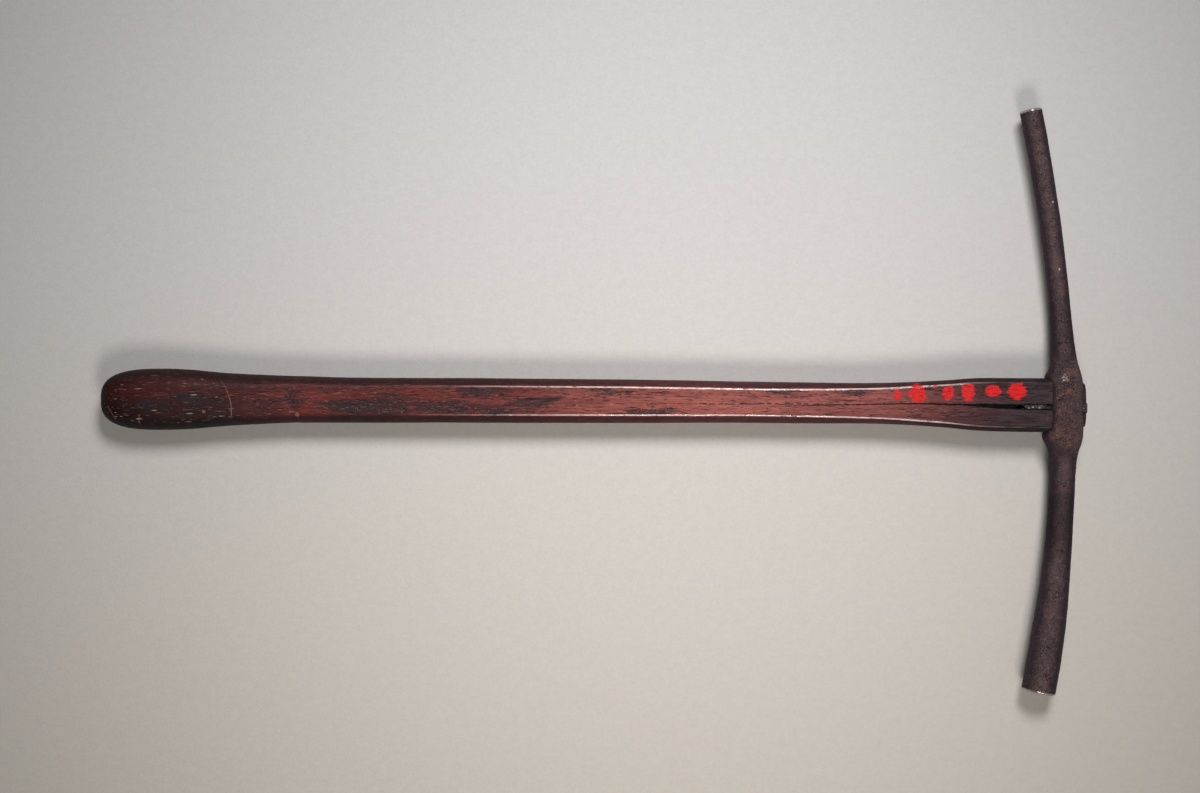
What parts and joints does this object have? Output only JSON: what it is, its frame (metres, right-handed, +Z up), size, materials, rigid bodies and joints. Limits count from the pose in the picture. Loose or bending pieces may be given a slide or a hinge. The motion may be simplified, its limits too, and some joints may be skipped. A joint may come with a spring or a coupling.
{
  "type": "tack hammer",
  "caption": "Slim two-faced tack hammer: swept round iron arms on an oval eye boss, with a long chamfered hardwood handle held by a wedge.",
  "frame": {"origin": "under the middle of the whole tool, on the surface it lies on", "axes": "+X along the handle from the butt to the head, +Y along the narrow arm, +Z up through the thickness of the tool"},
  "size_m": [0.2968, 0.1776, 0.0156],
  "materials": {
    "iron": "dark brown patina, finely pitted, bright worn rims",
    "handle_wood": "dark red-brown hardwood, worn and hand polished, grey-black at the head",
    "wedge_wood": "dry, grimy, ragged at the tip"
  },
  "bodies": {
    "root": {"head": "iron", "handle": "handle_wood", "wedge": "wedge_wood"}
  },
  "joints": []
}
